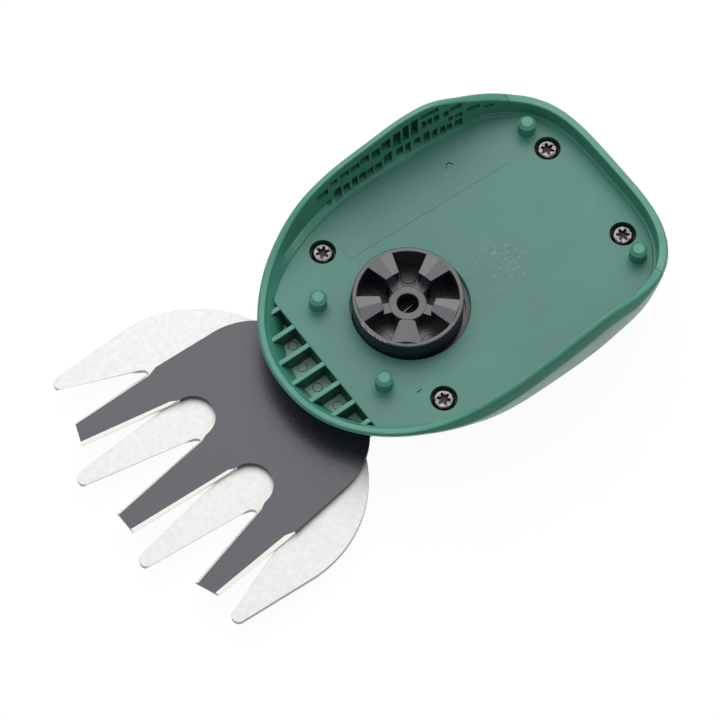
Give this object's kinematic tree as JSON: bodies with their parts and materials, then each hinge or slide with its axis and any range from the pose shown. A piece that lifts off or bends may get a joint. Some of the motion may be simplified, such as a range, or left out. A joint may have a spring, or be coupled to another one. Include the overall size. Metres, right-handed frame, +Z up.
{
  "type": "clip-on blade head for cordless grass shears",
  "caption": "Clip-on blade head of cordless grass shears: winged green tray with a black dog coupling that swings a coated toothed blade over a bright fixed one.",
  "frame": {"origin": "where the coupling axis meets the resting face under the lower cover", "axes": "+X along the teeth, +Z up out of the tray along the coupling axis, +Y to complete the frame"},
  "size_m": [0.1622, 0.0854, 0.0324],
  "materials": {
    "green_plastic": "satin moulded",
    "black_plastic": "satin moulded",
    "coated_steel": "matte coating",
    "blade_steel": "fine ground",
    "steel": "turned",
    "dark_steel": "blackened with bright heads",
    "bronze": "sintered",
    "felt": "pressed felt"
  },
  "bodies": {
    "base": {"upper_housing": "green_plastic", "lower_cover": "green_plastic", "fixed_blade": "blade_steel", "pivot_pin": "steel", "pivot_washer": "steel", "spring_washer": "steel", "pivot_circlip": "steel", "blade_screws": "steel", "blade_nuts": "steel", "housing_screws": "dark_steel", "coupling_axle": "steel", "thrust_washer": "bronze", "felt_ring": "felt"},
    "coupling": {"drive_coupling": "black_plastic", "hub_bush": "bronze", "eccentric_cam": "steel", "cam_screws": "steel"},
    "slip_ring": {"cam_ring": "bronze"},
    "blade": {"moving_blade": "coated_steel", "pivot_bush": "bronze"}
  },
  "joints": [
    {"name": "coupling_spin", "type": "hinge", "parent": "base", "child": "coupling", "pos_m": [0, 0, 0.014], "axis": [0, 0, 1], "range_deg": [-109.1, 70.9]},
    {"name": "blade_swing", "type": "hinge", "parent": "base", "child": "blade", "pos_m": [0.0195, 0, 0.0063], "axis": [0, 0, 1], "range_deg": [-12.86, 8.36]},
    {"name": "ring_spin", "type": "hinge", "parent": "coupling", "child": "slip_ring", "pos_m": [-0.00345, -0.00119, 0.0067], "axis": [0, 0, 1], "continuous": true}
  ],
  "couplings": [
    {"joint": "blade_swing", "follows": "coupling_spin", "ratio": 0.1178}
  ]
}
